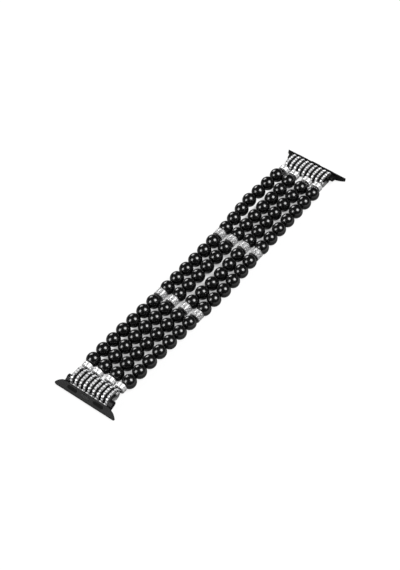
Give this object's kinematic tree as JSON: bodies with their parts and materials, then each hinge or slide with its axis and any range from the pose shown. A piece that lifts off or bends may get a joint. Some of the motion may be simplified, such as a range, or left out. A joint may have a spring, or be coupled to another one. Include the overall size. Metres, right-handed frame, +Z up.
{
  "type": "bead watch band",
  "caption": "Stretch watch band of round black beads on elastic cords, with stone-set drums and rings, silver end beads and slide-in adapters at both ends.",
  "frame": {"origin": "centre of the band's box on the surface that the laid-out band lies on", "axes": "+X along the band from the near adapter to the far one, +Y across it from strand 4 to strand 1, +Z up out of the beads' outer side"},
  "size_m": [0.1554, 0.0302, 0.006],
  "materials": {
    "bead_black": "polished black bead",
    "rhinestone": "foil-backed clear cut stone",
    "silver_metal": "bright plated",
    "adapter_black": "satin black coated",
    "lock_metal": "satin dark coated",
    "pad_rubber": "matt",
    "spacer_black": "moulded black",
    "spring_steel": "drawn",
    "elastic_cord": "smooth black elastic"
  },
  "bodies": {
    "row_01": {"bead_row_01": "bead_black"},
    "row_02": {"bead_row_02": "bead_black"},
    "row_03": {"bead_row_03": "bead_black"},
    "row_04": {"bead_row_04": "bead_black"},
    "row_05": {"bead_row_05": "bead_black"},
    "row_06": {"bead_row_06": "bead_black"},
    "row_07": {"bead_row_07": "bead_black"},
    "row_08": {"bead_row_08": "bead_black"},
    "row_09": {"bead_row_09": "bead_black"},
    "row_10": {"bead_row_10": "bead_black", "elastic_cord_1": "elastic_cord", "elastic_cord_2": "elastic_cord", "elastic_cord_3": "elastic_cord", "elastic_cord_4": "elastic_cord"},
    "row_11": {"bead_row_11": "bead_black"},
    "row_12": {"bead_row_12": "bead_black"},
    "row_13": {"bead_row_13": "bead_black"},
    "row_14": {"bead_row_14": "bead_black"},
    "row_15": {"bead_row_15": "bead_black"},
    "row_16": {"bead_row_16": "bead_black"},
    "row_17": {"bead_row_17": "bead_black"},
    "row_18": {"bead_row_18": "bead_black"},
    "row_19": {"bead_row_19": "bead_black"},
    "row_20": {"bead_row_20": "bead_black"},
    "near_drum_set": {"near_drums": "silver_metal", "near_drum_stones": "rhinestone"},
    "near_end_bead_set": {"near_end_beads": "silver_metal"},
    "near_ring_stack": {"near_rings": "silver_metal", "near_ring_stones": "rhinestone", "near_ring_spacers": "spacer_black", "near_cord_bar": "silver_metal"},
    "near_adapter_set": {"near_adapter": "adapter_black", "near_grip_pads": "pad_rubber", "near_bar_tube": "spring_steel", "near_bar_spring": "spring_steel", "near_lock_spring": "spring_steel"},
    "near_lock": {"near_lock_button": "lock_metal"},
    "near_tip_left": {"near_bar_tip_left": "spring_steel"},
    "near_tip_right": {"near_bar_tip_right": "spring_steel"},
    "far_drum_set": {"far_drums": "silver_metal", "far_drum_stones": "rhinestone"},
    "far_end_bead_set": {"far_end_beads": "silver_metal"},
    "far_ring_stack": {"far_rings": "silver_metal", "far_ring_stones": "rhinestone", "far_ring_spacers": "spacer_black", "far_cord_bar": "silver_metal"},
    "far_adapter_set": {"far_adapter": "adapter_black", "far_grip_pads": "pad_rubber", "far_bar_tube": "spring_steel", "far_bar_spring": "spring_steel", "far_lock_spring": "spring_steel"},
    "far_lock": {"far_lock_button": "lock_metal"},
    "far_tip_left": {"far_bar_tip_left": "spring_steel"},
    "far_tip_right": {"far_bar_tip_right": "spring_steel"}
  },
  "joints": [
    {"name": "bend_09_10", "type": "hinge", "parent": "row_10", "child": "row_09", "pos_m": [-0.00608, 0, 0.003], "axis": [0, -1, 0], "range_deg": [-12, 12], "stiffness_Nm_per_rad": 0.002},
    {"name": "bend_08_09", "type": "hinge", "parent": "row_09", "child": "row_08", "pos_m": [-0.01216, 0, 0.003], "axis": [0, -1, 0], "range_deg": [-12, 12], "stiffness_Nm_per_rad": 0.002},
    {"name": "near_drum_bend", "type": "hinge", "parent": "row_08", "child": "near_drum_set", "pos_m": [-0.0152, 0, 0.003], "axis": [0, -1, 0], "range_deg": [-12, 12], "stiffness_Nm_per_rad": 0.002},
    {"name": "near_stretch", "type": "slide", "parent": "near_drum_set", "child": "row_07", "axis": [-1, 0, 0], "range_m": [0, 0.003], "stiffness_N_per_m": 400, "springref_m": -0.001, "deforming": ["elastic_cord_1", "elastic_cord_2", "elastic_cord_3", "elastic_cord_4"]},
    {"name": "bend_06_07", "type": "hinge", "parent": "row_07", "child": "row_06", "pos_m": [-0.02737, 0, 0.003], "axis": [0, -1, 0], "range_deg": [-12, 12], "stiffness_Nm_per_rad": 0.002},
    {"name": "bend_05_06", "type": "hinge", "parent": "row_06", "child": "row_05", "pos_m": [-0.03345, 0, 0.003], "axis": [0, -1, 0], "range_deg": [-12, 12], "stiffness_Nm_per_rad": 0.002},
    {"name": "bend_04_05", "type": "hinge", "parent": "row_05", "child": "row_04", "pos_m": [-0.03953, 0, 0.003], "axis": [0, -1, 0], "range_deg": [-12, 12], "stiffness_Nm_per_rad": 0.002},
    {"name": "bend_03_04", "type": "hinge", "parent": "row_04", "child": "row_03", "pos_m": [-0.04561, 0, 0.003], "axis": [0, -1, 0], "range_deg": [-12, 12], "stiffness_Nm_per_rad": 0.002},
    {"name": "bend_02_03", "type": "hinge", "parent": "row_03", "child": "row_02", "pos_m": [-0.05169, 0, 0.003], "axis": [0, -1, 0], "range_deg": [-12, 12], "stiffness_Nm_per_rad": 0.002},
    {"name": "bend_01_02", "type": "hinge", "parent": "row_02", "child": "row_01", "pos_m": [-0.05777, 0, 0.003], "axis": [0, -1, 0], "range_deg": [-12, 12], "stiffness_Nm_per_rad": 0.002},
    {"name": "near_end_stretch", "type": "slide", "parent": "row_01", "child": "near_end_bead_set", "axis": [-1, 0, 0], "range_m": [0, 0.003], "stiffness_N_per_m": 400, "springref_m": -0.001},
    {"name": "bend_10_11", "type": "hinge", "parent": "row_10", "child": "row_11", "pos_m": [0, 0, 0.003], "axis": [0, 1, 0], "range_deg": [-12, 12], "stiffness_Nm_per_rad": 0.002},
    {"name": "bend_11_12", "type": "hinge", "parent": "row_11", "child": "row_12", "pos_m": [0.00608, 0, 0.003], "axis": [0, 1, 0], "range_deg": [-12, 12], "stiffness_Nm_per_rad": 0.002},
    {"name": "bend_12_13", "type": "hinge", "parent": "row_12", "child": "row_13", "pos_m": [0.01216, 0, 0.003], "axis": [0, 1, 0], "range_deg": [-12, 12], "stiffness_Nm_per_rad": 0.002},
    {"name": "far_drum_bend", "type": "hinge", "parent": "row_13", "child": "far_drum_set", "pos_m": [0.0152, 0, 0.003], "axis": [0, 1, 0], "range_deg": [-12, 12], "stiffness_Nm_per_rad": 0.002},
    {"name": "far_stretch", "type": "slide", "parent": "far_drum_set", "child": "row_14", "axis": [1, 0, 0], "range_m": [0, 0.003], "stiffness_N_per_m": 400, "springref_m": -0.001},
    {"name": "bend_14_15", "type": "hinge", "parent": "row_14", "child": "row_15", "pos_m": [0.02737, 0, 0.003], "axis": [0, 1, 0], "range_deg": [-12, 12], "stiffness_Nm_per_rad": 0.002},
    {"name": "bend_15_16", "type": "hinge", "parent": "row_15", "child": "row_16", "pos_m": [0.03345, 0, 0.003], "axis": [0, 1, 0], "range_deg": [-12, 12], "stiffness_Nm_per_rad": 0.002},
    {"name": "bend_16_17", "type": "hinge", "parent": "row_16", "child": "row_17", "pos_m": [0.03953, 0, 0.003], "axis": [0, 1, 0], "range_deg": [-12, 12], "stiffness_Nm_per_rad": 0.002},
    {"name": "bend_17_18", "type": "hinge", "parent": "row_17", "child": "row_18", "pos_m": [0.04561, 0, 0.003], "axis": [0, 1, 0], "range_deg": [-12, 12], "stiffness_Nm_per_rad": 0.002},
    {"name": "bend_18_19", "type": "hinge", "parent": "row_18", "child": "row_19", "pos_m": [0.05169, 0, 0.003], "axis": [0, 1, 0], "range_deg": [-12, 12], "stiffness_Nm_per_rad": 0.002},
    {"name": "bend_19_20", "type": "hinge", "parent": "row_19", "child": "row_20", "pos_m": [0.05777, 0, 0.003], "axis": [0, 1, 0], "range_deg": [-12, 12], "stiffness_Nm_per_rad": 0.002},
    {"name": "far_end_stretch", "type": "slide", "parent": "row_20", "child": "far_end_bead_set", "axis": [1, 0, 0], "range_m": [0, 0.003], "stiffness_N_per_m": 400, "springref_m": -0.001},
    {"name": "near_ring_turn", "type": "hinge", "parent": "near_end_bead_set", "child": "near_ring_stack", "pos_m": [-0.06806, 0, 0.003], "axis": [0, -1, 0], "range_deg": [-15, 15]},
    {"name": "near_adapter_turn", "type": "hinge", "parent": "near_ring_stack", "child": "near_adapter_set", "pos_m": [-0.07281, 0, 0.003], "axis": [0, -1, 0], "range_deg": [-30, 20]},
    {"name": "near_lock_press", "type": "slide", "parent": "near_adapter_set", "child": "near_lock", "axis": [0.7819, 0, -0.6234], "range_m": [0, 0.0004], "stiffness_N_per_m": 300, "springref_m": -0.0003, "deforming": ["near_lock_spring"]},
    {"name": "near_tip_left_press", "type": "slide", "parent": "near_adapter_set", "child": "near_tip_left", "axis": [0, -1, 0], "range_m": [0, 0.0014], "stiffness_N_per_m": 400, "springref_m": -0.001, "deforming": ["near_bar_spring"]},
    {"name": "near_tip_right_press", "type": "slide", "parent": "near_adapter_set", "child": "near_tip_right", "axis": [0, 1, 0], "range_m": [0, 0.0014], "stiffness_N_per_m": 400, "springref_m": -0.001},
    {"name": "far_ring_turn", "type": "hinge", "parent": "far_end_bead_set", "child": "far_ring_stack", "pos_m": [0.06806, 0, 0.003], "axis": [0, 1, 0], "range_deg": [-15, 15]},
    {"name": "far_adapter_turn", "type": "hinge", "parent": "far_ring_stack", "child": "far_adapter_set", "pos_m": [0.07281, 0, 0.003], "axis": [0, 1, 0], "range_deg": [-30, 20]},
    {"name": "far_lock_press", "type": "slide", "parent": "far_adapter_set", "child": "far_lock", "axis": [-0.7819, 0, -0.6234], "range_m": [0, 0.0004], "stiffness_N_per_m": 300, "springref_m": -0.0003, "deforming": ["far_lock_spring"]},
    {"name": "far_tip_left_press", "type": "slide", "parent": "far_adapter_set", "child": "far_tip_left", "axis": [0, -1, 0], "range_m": [0, 0.0014], "stiffness_N_per_m": 400, "springref_m": -0.001, "deforming": ["far_bar_spring"]},
    {"name": "far_tip_right_press", "type": "slide", "parent": "far_adapter_set", "child": "far_tip_right", "axis": [0, 1, 0], "range_m": [0, 0.0014], "stiffness_N_per_m": 400, "springref_m": -0.001}
  ],
  "couplings": [
    {"joint": "near_end_stretch", "follows": "near_stretch", "ratio": 1},
    {"joint": "far_stretch", "follows": "near_stretch", "ratio": 1},
    {"joint": "far_end_stretch", "follows": "near_stretch", "ratio": 1}
  ]
}
